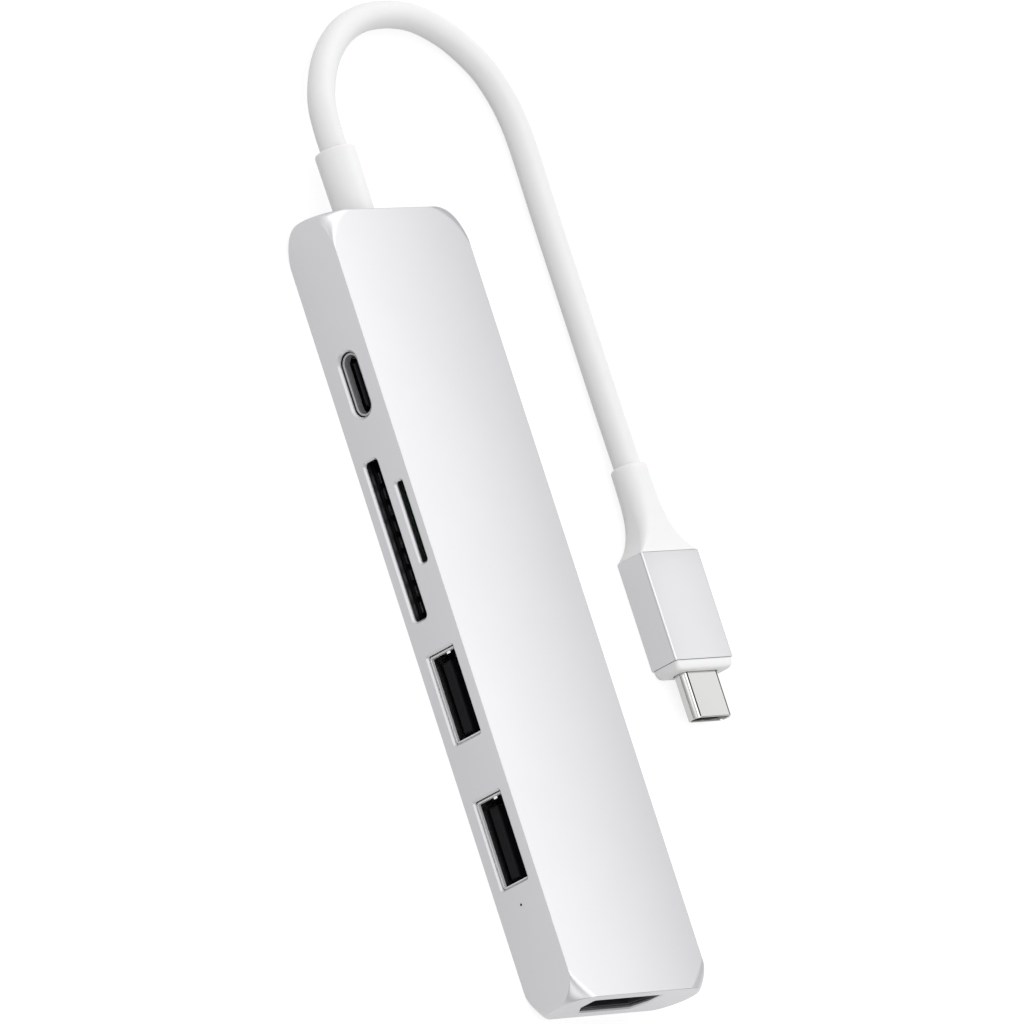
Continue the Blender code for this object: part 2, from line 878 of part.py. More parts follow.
def plug():
    """The moulded tail, metal sleeve, nose and tip at the cord's far end."""
    tail = (
        (PLUG_RING_Y, 5.0, 4.5, 2.2),
        (PLUG_RING_Y - 0.4, 5.7, 5.0, 2.45),
        (PLUG_BACK_Y + 9.0, 5.7, 4.95, 2.2),
        (PLUG_BACK_Y + 6.0, 6.1, 4.95, 1.9),
        (PLUG_BACK_Y + 4.0, 7.0, 4.95, 1.5),
        (PLUG_BACK_Y + 2.4, 8.5, 4.95, 1.2),
        (PLUG_BACK_Y + 1.1, 10.4, 5.0, 0.8),
        (PLUG_BACK_Y + GAP, 12.4, 5.1, 0.4),
    )
    rings = [
        place(rounded(width, height, radius, 3), "y", at, (PLUG_X, PLUG_Z))
        for at, width, height, radius in tail
    ]
    loft("plug_strain_relief", rings, "white")
    outer = rounded(PLUG_W, PLUG_T, 0.5, 2)
    inner = rounded(PLUG_W - 1.4, PLUG_T - 1.2, 0.3, 2)
    tube(
        "plug_body",
        outer,
        inner,
        "y",
        PLUG_BACK_Y,
        PLUG_FRONT_Y,
        (PLUG_X, PLUG_Z),
        "anodised",
    )
    nose = (
        (PLUG_FRONT_Y - GAP, 12.3, 4.9, 0.5),
        (PLUG_FRONT_Y - 0.8, 12.0, 4.7, 0.6),
        (PLUG_FRONT_Y - 1.5, 11.0, 3.9, 0.8),
    )
    rings = [
        place(rounded(width, height, radius, 2), "y", at, (PLUG_X, PLUG_Z))
        for at, width, height, radius in nose
    ]
    front = loft("plug_nose", rings, "white")
    hole = rounded(PLUG_TIP[0] + 0.5, PLUG_TIP[1] + 0.4, 1.3, 4)
    cut(
        front,
        prism("cut_nose", hole, "y", PLUG_FRONT_Y + 1, TIP_Y, (PLUG_X, PLUG_Z)),
    )
    cup(
        "plug_shell",
        rounded(*PLUG_TIP, 1.15, 5),
        rounded(PLUG_TIP[0] - 0.6, PLUG_TIP[1] - 0.6, 0.85, 5),
        "y",
        TIP_Y,
        PLUG_FRONT_Y + 1.6,
        PLUG_FRONT_Y + 1.2,
        (PLUG_X, PLUG_Z),
        "steel",
    )
    cup(
        "plug_insulator",
        rounded(PLUG_TIP[0] - 1.1, PLUG_TIP[1] - 1.1, 0.6, 3),
        rounded(PLUG_TIP[0] - 1.7, PLUG_TIP[1] - 1.7, 0.3, 3),
        "y",
        TIP_Y + 0.5,
        PLUG_FRONT_Y + 0.8,
        PLUG_FRONT_Y,
        (PLUG_X, PLUG_Z),
        "black",
    )
    block(
        "plug_board",
        (PLUG_X - 4.6, PLUG_FRONT_Y + 2.0, PLUG_Z - 0.4),
        (PLUG_X + 4.6, PLUG_BACK_Y - 2.0, PLUG_Z + 0.4),
        "board",
    )


def main():
    clear_scene()
    housing()
    cover()
    board()
    for number, y in enumerate(USB_A_Y, 1):
        usb_a_port(number, y)
    usb_c_port()
    card_sockets()
    levers()
    hdmi_port()
    indicator()
    packages()
    cord_exit()
    wire("cord", CORD_ROUTE, CORD_D / 2, "white", 1, 2)
    plug()


main()
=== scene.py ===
"""Looks for the hub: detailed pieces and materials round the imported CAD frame.

Frame: origin at the centre of the hub's underside, +Z up, +Y towards the cord's
exit, -X through the long face with the ports. The script works in millimetres, as
the CAD does, until solid() and cord() take DATUM off and turn them into metres.
"""

import json
import math

import bmesh
import bpy
from mathutils import Matrix, Vector


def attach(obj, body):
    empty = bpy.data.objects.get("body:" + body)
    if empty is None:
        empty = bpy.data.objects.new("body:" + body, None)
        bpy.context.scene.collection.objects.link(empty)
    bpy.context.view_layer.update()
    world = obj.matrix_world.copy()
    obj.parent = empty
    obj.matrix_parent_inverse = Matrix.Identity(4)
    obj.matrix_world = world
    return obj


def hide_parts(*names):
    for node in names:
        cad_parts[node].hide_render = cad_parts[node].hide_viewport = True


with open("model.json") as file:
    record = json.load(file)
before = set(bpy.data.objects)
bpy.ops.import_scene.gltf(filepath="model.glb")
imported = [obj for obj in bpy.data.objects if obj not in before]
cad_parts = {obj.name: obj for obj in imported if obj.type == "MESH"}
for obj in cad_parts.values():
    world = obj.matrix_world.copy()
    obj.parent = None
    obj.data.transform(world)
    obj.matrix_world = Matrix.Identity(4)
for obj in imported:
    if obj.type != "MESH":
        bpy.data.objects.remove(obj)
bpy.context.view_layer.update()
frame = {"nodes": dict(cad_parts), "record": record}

MM = 0.001

# Hub body, as in the CAD
HUB_L, HUB_W, HUB_T = 121.2, 29.2, 9.2
HUB_Y = 0.6
MIDDLE = (0, HUB_Y)
DATUM = Vector((0, HUB_Y, 0))
MID_Z = HUB_T / 2
PORT_X = -HUB_W / 2
HDMI_Y = HUB_Y - HUB_L / 2
CORD_Y = HUB_Y + HUB_L / 2
WALL, PORT_WALL, CEILING = 1.6, 0.5, 1.0
FAR_CORNER, NEAR_CORNER = (6.2, 0.55), (4.4, 0.15)
COVER_T, COVER_SEAT_Z, COVER_WALL = 0.8, 1.2, 0.9
USB_C_Y, USB_C_Z = 35.9, 4.8
SD_Y, SD_Z = 12.5, 3.1
MICRO_Y, MICRO_Z = 14.05, 7.0
USB_A_Y, USB_A_Z = (-11.85, -34.15), 4.6
LED_Y, LED_Z = -44.0, 4.6
HDMI_X, HDMI_Z = -1.3, 4.65
HDMI_CUT = (1.9, 2.4)  # how far each lower corner is cut back, across and up
EXIT_X = -2.6

# Mouths in the port face: name, place (y, z), outline (width, height, corner and
# its steps), chamfer, and the size of the pocket behind the wall
MOUTHS = (
    ("usb_c", (USB_C_Y, USB_C_Z), (9.95, 3.5, 1.75, 14), 0.26, (10.2, 3.8)),
    ("sd", (SD_Y, SD_Z - 0.05), (24.5, 2.55, 0.6, 6), 0.26, (26.4, 2.9)),
    ("microsd", (MICRO_Y - 0.2, MICRO_Z), (12.5, 1.3, 0.4, 6), 0.24, (13.2, 1.8)),
    ("usb_a_1", (USB_A_Y[0], USB_A_Z), (13.5, 5.2, 0.25, 5), 0.24, (13.9, 6.2)),
    ("usb_a_2", (USB_A_Y[1], USB_A_Z), (13.5, 5.2, 0.25, 5), 0.24, (13.9, 6.2)),
)
POCKET_DEPTH = 3
PORT_ROW = ((-50.0, 50.0), (1.5, 8.2))  # where all of them lie, in y and in z
PINHOLE_R, PINHOLE_BACK_R = 0.2, 0.35

# Inside the ports
CAN_FRONT = PORT_WALL + 0.1  # how far in from the hub's face each shell starts
CAN_END_T = 0.3
USB_A_CAN, USB_A_SHEET = (13.4, 5.72, 0.5, 5), 0.36
USB_A_BACK_X = -0.6
USB_A_TONGUE = (11.1, 1.84)
USB_A_TONGUE_Z = USB_A_Z - 2.56 + 0.3 + 0.92
USB_C_CAN, USB_C_SHEET = (9.75, 3.4, 1.7, 14), 0.42
USB_C_BACK_X = -6.2
USB_C_TONGUE = (6.7, 0.7)
HDMI_CAN, HDMI_SHEET = (14.6, 5.15), 0.3
HDMI_BACK_Y = -49.2

# Cord and plug, as in the CAD
CORD_D = 4.1
CORD_Z = CORD_D / 2 + 0.02
SLEEVE_D = 5.95
SLEEVE_END_Y = 72.0
PLUG_X = 40.9
PLUG_W, PLUG_T = 12.7, 5.2
PLUG_Z = PLUG_T / 2
PLUG_CENTRE = (PLUG_X, PLUG_Z)
PLUG_BACK_Y, PLUG_FRONT_Y = 7.85, -8.95
PLUG_RING_Y = 21.9
TIP_Y = -17.5
TIP_W, TIP_T = 8.25, 2.4

CORD_ROUTE = (
    (EXIT_X, SLEEVE_END_Y - 0.6, 4.6),
    (-2.55, 74.9, 4.56),
    (-2.0, 78.7, 4.4),
    (-0.5, 81.95, 4.1),
    (2.1, 85.6, 3.7),
    (5.5, 88.8, 3.2),
    (10.1, 91.7, 2.6),
    (15.8, 93.65, 2.15),
    (22.0, 94.1, CORD_Z),
    (27.3, 93.2, CORD_Z),
    (32.2, 90.8, CORD_Z),
    (35.6, 88.0, CORD_Z),
    (38.3, 84.8, CORD_Z),
    (40.1, 81.0, CORD_Z),
    (41.0, 77.5, CORD_Z),
    (41.35, 74.1, CORD_Z),
    (41.4, 70.1, CORD_Z),
    (41.3, 62.1, CORD_Z),
    (41.3, 52.1, CORD_Z),
    (41.3, 42.1, CORD_Z),
    (41.2, 32.0, 2.15),
    (PLUG_X, PLUG_RING_Y - 0.6, 2.5),
)

# Degrees between two faces over which their edge stays sharp
SHARP, SHARP_METAL, SHARP_SHELL, SHARP_MOULDING = 35.0, 30.0, 50.0, 60.0

GRAIN_DEPTH = 0.00001  # metres, of every finish's bump

# Camera: long lens, rolled so that the hub runs down the frame
CAM_RIGHT = Vector((0.6636, -0.3007, 0.6852)).normalized()
CAM_UP = Vector((0.0359, 0.9275, 0.3720))
CAM_AIM = Vector((-0.40, 11.52, 13.6)) * MM
FRAME_WIDTH = 0.1468
LENS, SENSOR = 600.0, 36.0

# Studio: the room's own brightness, then soft lights in the distance, each with
# the way it lies in, how tight it is and how strong
ROOM = 0.47
GLOWS = (
    ((-0.446, -0.316, 0.837), 4.0, 0.5),
    ((-0.626, 0.222, 0.747), 40.0, 1.3),
    ((-0.18, -0.70, 0.67), 12.0, 1.15),
    ((0.2, 0.85, 0.45), 6.0, 1.15),
    ((-0.69, 0.58, 0.36), 8.0, 0.9),
    ((0.97, -0.02, 0.2), 16.0, 0.6),
)


def camera():
    back = CAM_RIGHT.cross(CAM_UP).normalized()
    up = back.cross(CAM_RIGHT).normalized()
    data = bpy.data.cameras.new("camera")
    data.lens = LENS
    data.sensor_width = SENSOR
    data.clip_start = 0.1
    data.clip_end = 20.0
    item = bpy.data.objects.new("camera", data)
    bpy.context.scene.collection.objects.link(item)
    turn = Matrix((CAM_RIGHT, up, back)).transposed().to_4x4()
    away = FRAME_WIDTH * LENS / SENSOR
    item.matrix_world = Matrix.Translation(CAM_AIM + back * away) @ turn
    bpy.context.scene.camera = item


# ---------------------------------------------------------------- materials


def shader(name, colour, metallic=0.0, roughness=0.5, **more):
    """A new material and its Principled node."""
    material = bpy.data.materials.new(name)
    material.use_nodes = True
    node = material.node_tree.nodes["Principled BSDF"]
    node.inputs["Base Color"].default_value = (*colour, 1.0)
    node.inputs["Metallic"].default_value = metallic
    node.inputs["Roughness"].default_value = roughness
    for key, value in more.items():
        node.inputs[key.replace("_", " ")].default_value = value
    return material, node


def object_coords(tree, stretch=(1, 1, 1)):
    coords = tree.nodes.new("ShaderNodeTexCoord")
    mapping = tree.nodes.new("ShaderNodeMapping")
    mapping.inputs["Scale"].default_value = stretch
    tree.links.new(coords.outputs["Object"], mapping.inputs["Vector"])
    return mapping.outputs["Vector"]


def noise(tree, vector, scale, detail=2.0, rough=0.5):
    node = tree.nodes.new("ShaderNodeTexNoise")
    node.inputs["Scale"].default_value = scale
    node.inputs["Detail"].default_value = detail
    node.inputs["Roughness"].default_value = rough
    tree.links.new(vector, node.inputs["Vector"])
    return node.outputs["Fac"]


def spread(tree, value, low, high):
    """Maps a noise, most of which lies from 0.3 to 0.7, on to low to high."""
    node = tree.nodes.new("ShaderNodeMapRange")
    node.inputs["From Min"].default_value = 0.3
    node.inputs["From Max"].default_value = 0.7
    node.inputs["To Min"].default_value = low
    node.inputs["To Max"].default_value = high
    tree.links.new(value, node.inputs["Value"])
    return node.outputs["Result"]


def tint(tree, value, dark, light):
    """Mixes two colours by a 0-1 value."""
    node = tree.nodes.new("ShaderNodeMix")
    node.data_type = "RGBA"
    node.inputs["A"].default_value = (*dark, 1.0)
    node.inputs["B"].default_value = (*light, 1.0)
    tree.links.new(value, node.inputs["Factor"])
    return node.outputs["Result"]


def bump(tree, node, height, strength):
    raised = tree.nodes.new("ShaderNodeBump")
    raised.inputs["Strength"].default_value = strength
    raised.inputs["Distance"].default_value = GRAIN_DEPTH
    tree.links.new(height, raised.inputs["Height"])
    tree.links.new(raised.outputs["Normal"], node.inputs["Normal"])


def blasted_metal(name, colour, roughness, metallic=1.0):
    """Fine bead-blasted and anodised aluminium: a soft sheen with a tiny grain."""
    material, node = shader(name, colour, metallic, roughness)
    tree = material.node_tree
    vector = object_coords(tree)
    fine = noise(tree, vector, 9000.0, 3.0, 0.6)
    broad = noise(tree, vector, 60.0)
    low = tuple(value * 0.97 for value in colour)
    high = tuple(min(value * 1.02, 1.0) for value in colour)
    tree.links.new(tint(tree, broad, low, high), node.inputs["Base Color"])
    rough = spread(tree, fine, roughness - 0.03, roughness + 0.04)
    tree.links.new(rough, node.inputs["Roughness"])
    bump(tree, node, fine, 0.12)
    return material


def drawn_steel(name, colour, roughness, stretch=(1, 1, 1)):
    """Stamped and drawn sheet, with faint lines along the draw."""
    material, node = shader(name, colour, 1.0, roughness)
    tree = material.node_tree
    vector = object_coords(tree, stretch)
    lines = noise(tree, vector, 4000.0)
    rough = spread(tree, lines, roughness - 0.04, roughness + 0.06)
    tree.links.new(rough, node.inputs["Roughness"])
    bump(tree, node, lines, 0.05)
    return material


def moulded(name, colour, roughness, grain=5000.0, strength=0.08, soft=0.0, **more):
    """Moulded plastic with a fine spark-eroded grain."""
    material, node = shader(name, colour, 0.0, roughness, **more)
    tree = material.node_tree
    vector = object_coords(tree)
    fine = noise(tree, vector, grain, 3.0, 0.6)
    broad = noise(tree, vector, 90.0)
    low = tuple(value * 0.975 for value in colour)
    tree.links.new(tint(tree, broad, low, colour), node.inputs["Base Color"])
    rough = spread(tree, fine, roughness - 0.04, roughness + 0.05)
    tree.links.new(rough, node.inputs["Roughness"])
    if soft:
        node.inputs["Subsurface Weight"].default_value = soft
        node.inputs["Subsurface Scale"].default_value = 0.0006
    bump(tree, node, fine, strength)
    return material


def board_material(name):
    """Solder resist with faint tracks under it."""
    material, node = shader(name, (0.015, 0.075, 0.035), 0.0, 0.35)
    tree = material.node_tree
    vector = object_coords(tree)
    tracks = tree.nodes.new("ShaderNodeTexBrick")
    tracks.inputs["Scale"].default_value = 350.0
    tracks.inputs["Mortar Size"].default_value = 0.03
    tracks.inputs["Color1"].default_value = (0.012, 0.07, 0.03, 1.0)
    tracks.inputs["Color2"].default_value = (0.016, 0.085, 0.04, 1.0)
    tracks.inputs["Mortar"].default_value = (0.04, 0.16, 0.07, 1.0)
    tree.links.new(vector, tracks.inputs["Vector"])
    tree.links.new(tracks.outputs["Color"], node.inputs["Base Color"])
    bump(tree, node, tracks.outputs["Fac"], 0.2)
    return material


SILVER = (0.54, 0.54, 0.555)
LOOKS = {
    "housing": blasted_metal("silver_anodised", SILVER, 0.34),
    "cover": blasted_metal("silver_cover", (0.50, 0.50, 0.515), 0.42),
    "steel": drawn_steel("plated_steel", (0.70, 0.70, 0.69), 0.2, (1, 0.05, 1)),
    "gold": drawn_steel("gold_plate", (0.83, 0.62, 0.25), 0.22),
    # Black moulding, pushed far darker than its own black: painted shade for the dark
    # insides of the ports and slots.
    "black_plastic": moulded(
        "black_moulding_and_painted_shade", (0.0016, 0.0018, 0.0035), 0.5, Specular_IOR_Level=0.18
    ),
    "package": moulded("chip_package", (0.025, 0.025, 0.027), 0.55),
    "board": board_material("solder_resist"),
    "white_plastic": moulded(
        "white_moulding", (0.80, 0.80, 0.80), 0.45, soft=0.08, Specular_IOR_Level=0.25
    ),
    "clear": moulded("clear_moulding", (0.80, 0.85, 0.88), 0.15),
    "tape": moulded("foam_tape", (0.06, 0.06, 0.06), 0.85, 2500.0, 0.4),
    "pad": moulded("heat_pad", (0.30, 0.36, 0.48), 0.75, 2500.0, 0.3),
    "ceramic": moulded("ceramic_body", (0.50, 0.38, 0.25), 0.5),
    "red_insulation": moulded("red_insulation", (0.50, 0.03, 0.02), 0.4),
}
CORD_WHITE = moulded(
    "cord_jacket", (0.78, 0.78, 0.78), 0.42, 4000.0, 0.06, 0.05, Specular_IOR_Level=0.25
)
BRIGHT_LIP = drawn_steel("bright_lip", (0.80, 0.80, 0.80), 0.14)
TIP_STEEL = drawn_steel("tip_steel", (0.54, 0.54, 0.53), 0.14, (1, 0.05, 1))
# Near-black steel is painted shade: it stands for the dark inside of the HDMI port and
# the dark reflections along the tip's seams.
PAINTED_SHADE_STEEL = drawn_steel("painted_shade_steel", (0.05, 0.05, 0.055), 0.35)
THROAT = blasted_metal("port_throat", (0.40, 0.40, 0.41), 0.35, metallic=0.5)
CUT_WALL = blasted_metal("cut_wall", (0.70, 0.70, 0.71), 0.5, metallic=0.2)

# ---------------------------------------------------------------- mesh tools


def solid(name, points, faces, sharp=SHARP):
    """A closed mesh from points in millimetres, smooth but for its sharp edges."""
    mesh = bpy.data.meshes.new(name)
    mesh.from_pydata([(Vector(point) - DATUM) * MM for point in points], [], faces)
    form = bmesh.new()
    form.from_mesh(mesh)
    bmesh.ops.recalc_face_normals(form, faces=form.faces)
    form.to_mesh(mesh)
    form.free()
    item = bpy.data.objects.new(name, mesh)
    bpy.context.scene.collection.objects.link(item)
    smooth(item, sharp)
    return item


def smooth(item, sharp=SHARP):
    item.data.shade_smooth()
    item.data.set_sharp_from_angle(angle=math.radians(sharp))


def loft(name, rings, closed=False, sharp=SHARP):
    """Joins equal rings of points; closed runs the last ring back to the first."""
    count = len(rings[0])
    points = [point for ring in rings for point in ring]
    faces = []
    last = len(rings) if closed else len(rings) - 1
    for low in range(last):
        high = (low + 1) % len(rings)
        for side in range(count):
            after = (side + 1) % count
            faces.append(
                (
                    low * count + side,
                    low * count + after,
                    high * count + after,
                    high * count + side,
                )
            )
    if not closed:
        faces.append(tuple(range(count)))
        faces.append(tuple(range((len(rings) - 1) * count, len(rings) * count)))
    return solid(name, points, faces, sharp)


def place(ring, axis, at, centre):
    """Puts a flat ring square to an axis at a position along it."""
    cu, cv = centre
    if axis == "x":
        return [(at, cu + u, cv + v) for u, v in ring]
    if axis == "y":
        return [(cu + u, at, cv + v) for u, v in ring]
    return [(cu + u, cv + v, at) for u, v in ring]


def rounded(width, height, radius, steps=8):
    """A rectangle with round corners, or with half-round ends."""
    hair = 0.001
    radius = min(radius, width / 2 - hair, height / 2 - hair)
    ring = []
    for quarter, (su, sv) in enumerate(((1, 1), (-1, 1), (-1, -1), (1, -1))):
        cu = su * (width / 2 - radius)
        cv = sv * (height / 2 - radius)
        for step in range(steps + 1):
            turn = math.pi / 2 * (quarter + step / steps)
            ring.append((cu + radius * math.cos(turn), cv + radius * math.sin(turn)))
    return ring


def circle(radius, sides):
    turns = [2 * math.pi * side / sides for side in range(sides)]
    return [(radius * math.cos(turn), radius * math.sin(turn)) for turn in turns]


def lathe(name, profile, axis, centre, sides=64, sharp=SHARP):
    """A turned solid from places along an axis and the radius at each."""
    rings = [place(circle(radius, sides), axis, at, centre) for at, radius in profile]
    return loft(name, rings, sharp=sharp)


def prism(name, ring, axis, start, end, centre):
    return loft(name, [place(ring, axis, at, centre) for at in (start, end)])


def block(name, low, high):
    centre = ((low[0] + high[0]) / 2, (low[1] + high[1]) / 2)
    half_w, half_d = (high[0] - low[0]) / 2, (high[1] - low[1]) / 2
    ring = [(half_w, half_d), (-half_w, half_d), (-half_w, -half_d), (half_w, -half_d)]
    return prism(name, ring, "z", low[2], high[2], centre)


def grown(ring, by):
    """A ring moved outward by a distance, square to its edges."""
    count = len(ring)
    found = []
    for index, (u, v) in enumerate(ring):
        before, after = ring[index - 1], ring[(index + 1) % count]
        sums = [0.0, 0.0]
        for (au, av), (bu, bv) in ((before, (u, v)), ((u, v), after)):
            du, dv = bu - au, bv - av
            size = math.hypot(du, dv)
            if size > 1e-9:
                sums[0] += dv / size
                sums[1] -= du / size
        size = math.hypot(*sums)
        lean = max(size / 2, 0.5)
        found.append((u + by * sums[0] / size / lean, v + by * sums[1] / size / lean))
    return found


def apply_boolean(item, other, operation):
    """Runs an exact Boolean now and removes the other object."""
    step = item.modifiers.new("boolean", "BOOLEAN")
    step.operation = operation
    step.solver = "EXACT"
    step.object = other
    graph = bpy.context.evaluated_depsgraph_get()
    mesh = bpy.data.meshes.new_from_object(item.evaluated_get(graph))
    item.modifiers.clear()
    old = item.data
    mesh.name = item.name
    item.data = mesh
    bpy.data.meshes.remove(old)
    bpy.data.objects.remove(other, do_unlink=True)


def cut(item, *cutters):
    for cutter in cutters:
        apply_boolean(item, cutter, "DIFFERENCE")


def join(item, *extras):
    for extra in extras:
        apply_boolean(item, extra, "UNION")


def even_shading(item):
    """Keeps broad flat faces flat beside their small rounded edges."""
    step = item.modifiers.new("normals", "WEIGHTED_NORMAL")
    step.keep_sharp = True
    step.weight = 100


def dress(item, slot, body="hub", replaces=(), look=None):
    item.data.materials.clear()
    item.data.materials.append(look or LOOKS[slot])
    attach(item, body)
    if replaces:
        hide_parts(*replaces)


def finish_or_painted_shade(item, look, axis, start, end, within=None):
    """Gives another material to the faces lying between two places along an axis: a
    second finish, and at the tip's seams painted shade.
    """
    index = "xyz".index(axis)
    item.data.materials.append(look)
    for face in item.data.polygons:
        centre = Vector(face.center) / MM + DATUM
        inside = within is None or all(
            low < value < high for value, (low, high) in zip(centre.yz, within)
        )
        if start < centre[index] < end and inside:
            face.material_index = 1


def between(before, start, end, after, t):
    """A place on the smooth curve through four points, from start to end."""
    return 0.5 * (
        2 * start
        + (end - before) * t
        + (2 * before - 5 * start + 4 * end - after) * t * t
        + (3 * start - before - 3 * end + after) * t**3
    )


def smooth_line(points, every):
    """A smooth curve through all the points, with so many steps between each two."""
    points = [Vector(point) for point in points]
    ends = [2 * points[0] - points[1], *points, 2 * points[-1] - points[-2]]
    found = []
    for index in range(1, len(ends) - 2):
        for step in range(every):
            found.append(between(*ends[index - 1 : index + 3], step / every))
    return [*found, points[-1]]


# ---------------------------------------------------------------- cord


def cord():
    """The jacket as a round curve along the route, and its length in millimetres."""
    points = smooth_line(CORD_ROUTE, 6)
    curve = bpy.data.curves.new("cord_jacket", "CURVE")
    curve.dimensions = "3D"
    curve.bevel_depth = CORD_D / 2 * MM
    curve.bevel_resolution = 14
    curve.use_fill_caps = True
    line = curve.splines.new("POLY")
    line.points.add(len(points) - 1)
    for target, point in zip(line.points, points):
        target.co = (*((point - DATUM) * MM), 1.0)
    line.use_smooth = True
    item = bpy.data.objects.new("cord_jacket", curve)
    bpy.context.scene.collection.objects.link(item)
    dress(item, "white_plastic", replaces=("cord",), look=CORD_WHITE)
    length = sum((b - a).length for a, b in zip(points, points[1:]))
    return item, length


def hub_sleeve():
    """The moulded sleeve, a little wider towards its round lip, and its flange
    inside the housing's end wall."""
    inner_y = CORD_Y - WALL
    clear_y = inner_y - 0.35
    root, neck = 2.45, 2.6
    base, tip = SLEEVE_D / 2 - 0.06, SLEEVE_D / 2 + 0.08
    profile = [(inner_y - 5.0, root), (clear_y, root), (clear_y, neck)]
    profile += [(CORD_Y - 0.5, neck), (CORD_Y - 0.4, base)]
    lip, steps = 0.42, 8
    for step in range(steps + 1):
        turn = math.pi / 2 * step / steps
        at = SLEEVE_END_Y - lip + lip * math.sin(turn)
        profile.append((at, tip - lip + lip * math.cos(turn)))
    item = lathe("hub_sleeve", profile, "y", (EXIT_X, MID_Z), sharp=SHARP_SHELL)
    flange = block(
        "hub_flange",
        (EXIT_X - 3.7, inner_y - 2.1, MID_Z - 2.85),
        (EXIT_X + 3.7, clear_y, MID_Z + 3.1),
    )
    join(item, flange)
    smooth(item, SHARP_SHELL)
    dress(item, "white_plastic", replaces=("hub_strain_relief",))
    return item


# ---------------------------------------------------------------- housing


def cornered(half_x, half_y, corner):
    """A rectangle with 45 degree corners."""
    ring = []
    for sx, sy in ((1, 1), (-1, 1), (-1, -1), (1, -1)):
        part = [
            (sx * half_x, sy * (half_y - corner)),
            (sx * (half_x - corner), sy * half_y),
        ]
        ring += part if sx == sy else part[::-1]
    return ring


def eased_corner(size, fullness, ease):
    """Offsets back from a corner along its two sides: a cut-off corner, bowed out
    by fullness, with each of its two edges rounded over a small length."""
    found = [(0.0, size + ease), (0.0, size + ease / 2)]
    steps = 12
    for step in range(steps + 1):
        t = step / steps
        slack = (1 - fullness) * t * (1 - t)
        found.append((size * (t * t + slack), size * ((1 - t) ** 2 + slack)))
    found += [(size + ease / 2, 0.0), (size + ease, 0.0)]
    for turn in range(2):
        found = [
            found[0],
            *(
                tuple((a + 2 * b + c) / 4 for a, b, c in zip(*three))
                for three in zip(found, found[1:], found[2:])
            ),
            found[-1],
        ]
    return found


def hub_slice(inset, bend):
    """A level outline; bend runs from 0 at mid height to 1 at the two faces."""
    least, widest_ease = 0.06, 0.12
    half_x, half_y = HUB_W / 2 - inset, HUB_L / 2 - inset
    ring = []
    for sx, sy in ((1, 1), (-1, 1), (-1, -1), (1, -1)):
        reach, fullness = FAR_CORNER if sy > 0 else NEAR_CORNER
        size = max(reach * bend, least)
        ease = min(0.5 * size, widest_ease)
        part = []
        for off_x, off_y in eased_corner(size, fullness, ease):
            part.append((sx * (half_x - off_x), sy * (half_y - off_y)))
        ring += part if sx == sy else part[::-1]
    return ring


def hub_form(name):
    """Flat long faces and flat ends, each with a half-round outline at its ends."""
    radius = HUB_T / 2
    edge = 0.11
    rings = []
    steps = 30
    for step in range(-steps, steps + 1):
        turn = math.pi / 2 * step / steps
        height = radius * math.sin(turn)
        past = abs(height) - (radius - edge)
        inset = 0.0
        if past > 0:
            inset = edge - math.sqrt(max(edge * edge - past * past, 0.0))
        ring = hub_slice(inset, 1 - math.cos(turn))
        rings.append(place(ring, "z", MID_Z + height, MIDDLE))
    return loft(name, rings, sharp=SHARP_METAL)


def mouth_cutter(name, ring, flare, axis, face, centre):
    """A cutter through a wall whose mouth has a small flat chamfer."""
    inward = 1 if face < 0 else -1
    wide, soft = grown(ring, flare), 0.03
    ahead, depth = 1.0, 4.0
    rings = [
        place(grown(ring, flare + soft), axis, face - inward * ahead, centre),
        place(grown(ring, flare + soft), axis, face, centre),
        place(wide, axis, face + inward * soft, centre),
        place(ring, axis, face + inward * flare, centre),
        place(ring, axis, face + inward * depth, centre),
    ]
    return loft(name, rings)


def hdmi_ring(width, height, ease=0.25, steps=3):
    """Wide side up, its two lower corners cut back, every corner eased."""
    half_w, half_h = width / 2, height / 2
    corners = [
        (half_w, half_h),
        (-half_w, half_h),
        (-half_w, -half_h + HDMI_CUT[1]),
        (-half_w + HDMI_CUT[0], -half_h),
        (half_w - HDMI_CUT[0], -half_h),
        (half_w, -half_h + HDMI_CUT[1]),
    ]
    ring = []
    for index, corner in enumerate(corners):
        here = Vector(corner)
        before = (Vector(corners[index - 1]) - here).normalized()
        after = (Vector(corners[(index + 1) % 6]) - here).normalized()
        start, end = here + before * ease, here + after * ease
        for step in range(steps + 1):
            t = step / steps
            point = start * (1 - t) ** 2 + here * 2 * t * (1 - t) + end * t * t
            ring.append(tuple(point))
    return ring


def hollow_out(body):
    """The room inside and the seat for the cover, both open below."""
    room = cornered(HUB_W / 2 - WALL, HUB_L / 2 - WALL, 3.9)
    cavity = prism("cavity", room, "z", -1, HUB_T - CEILING, MIDDLE)
    seat = cornered(HUB_W / 2 - COVER_WALL, HUB_L / 2 - COVER_WALL, 4.3)
    rebate = prism("rebate", seat, "z", -1, COVER_SEAT_Z, MIDDLE)
    cut(body, cavity, rebate)


def open_mouths(body):
    """Each port's mouth, with a wider pocket for its shell behind the wall."""
    ends = (PORT_X + PORT_WALL, PORT_X + POCKET_DEPTH)
    for name, centre, outline, flare, behind in MOUTHS:
        mouth = mouth_cutter(name, rounded(*outline), flare, "x", PORT_X, centre)
        pocket = prism("pocket", rounded(*behind, 0.3, 3), "x", *ends, centre)
        cut(body, mouth, pocket)
    centre = (HDMI_X, HDMI_Z)
    mouth = mouth_cutter("hdmi", hdmi_ring(14.7, 5.0), 0.2, "y", HDMI_Y, centre)
    ends = (HDMI_Y + PORT_WALL, HDMI_Y + POCKET_DEPTH)
    pocket = prism("pocket", rounded(15.2, 5.7, 0.3, 3), "y", *ends, centre)
    cut(body, mouth, pocket)


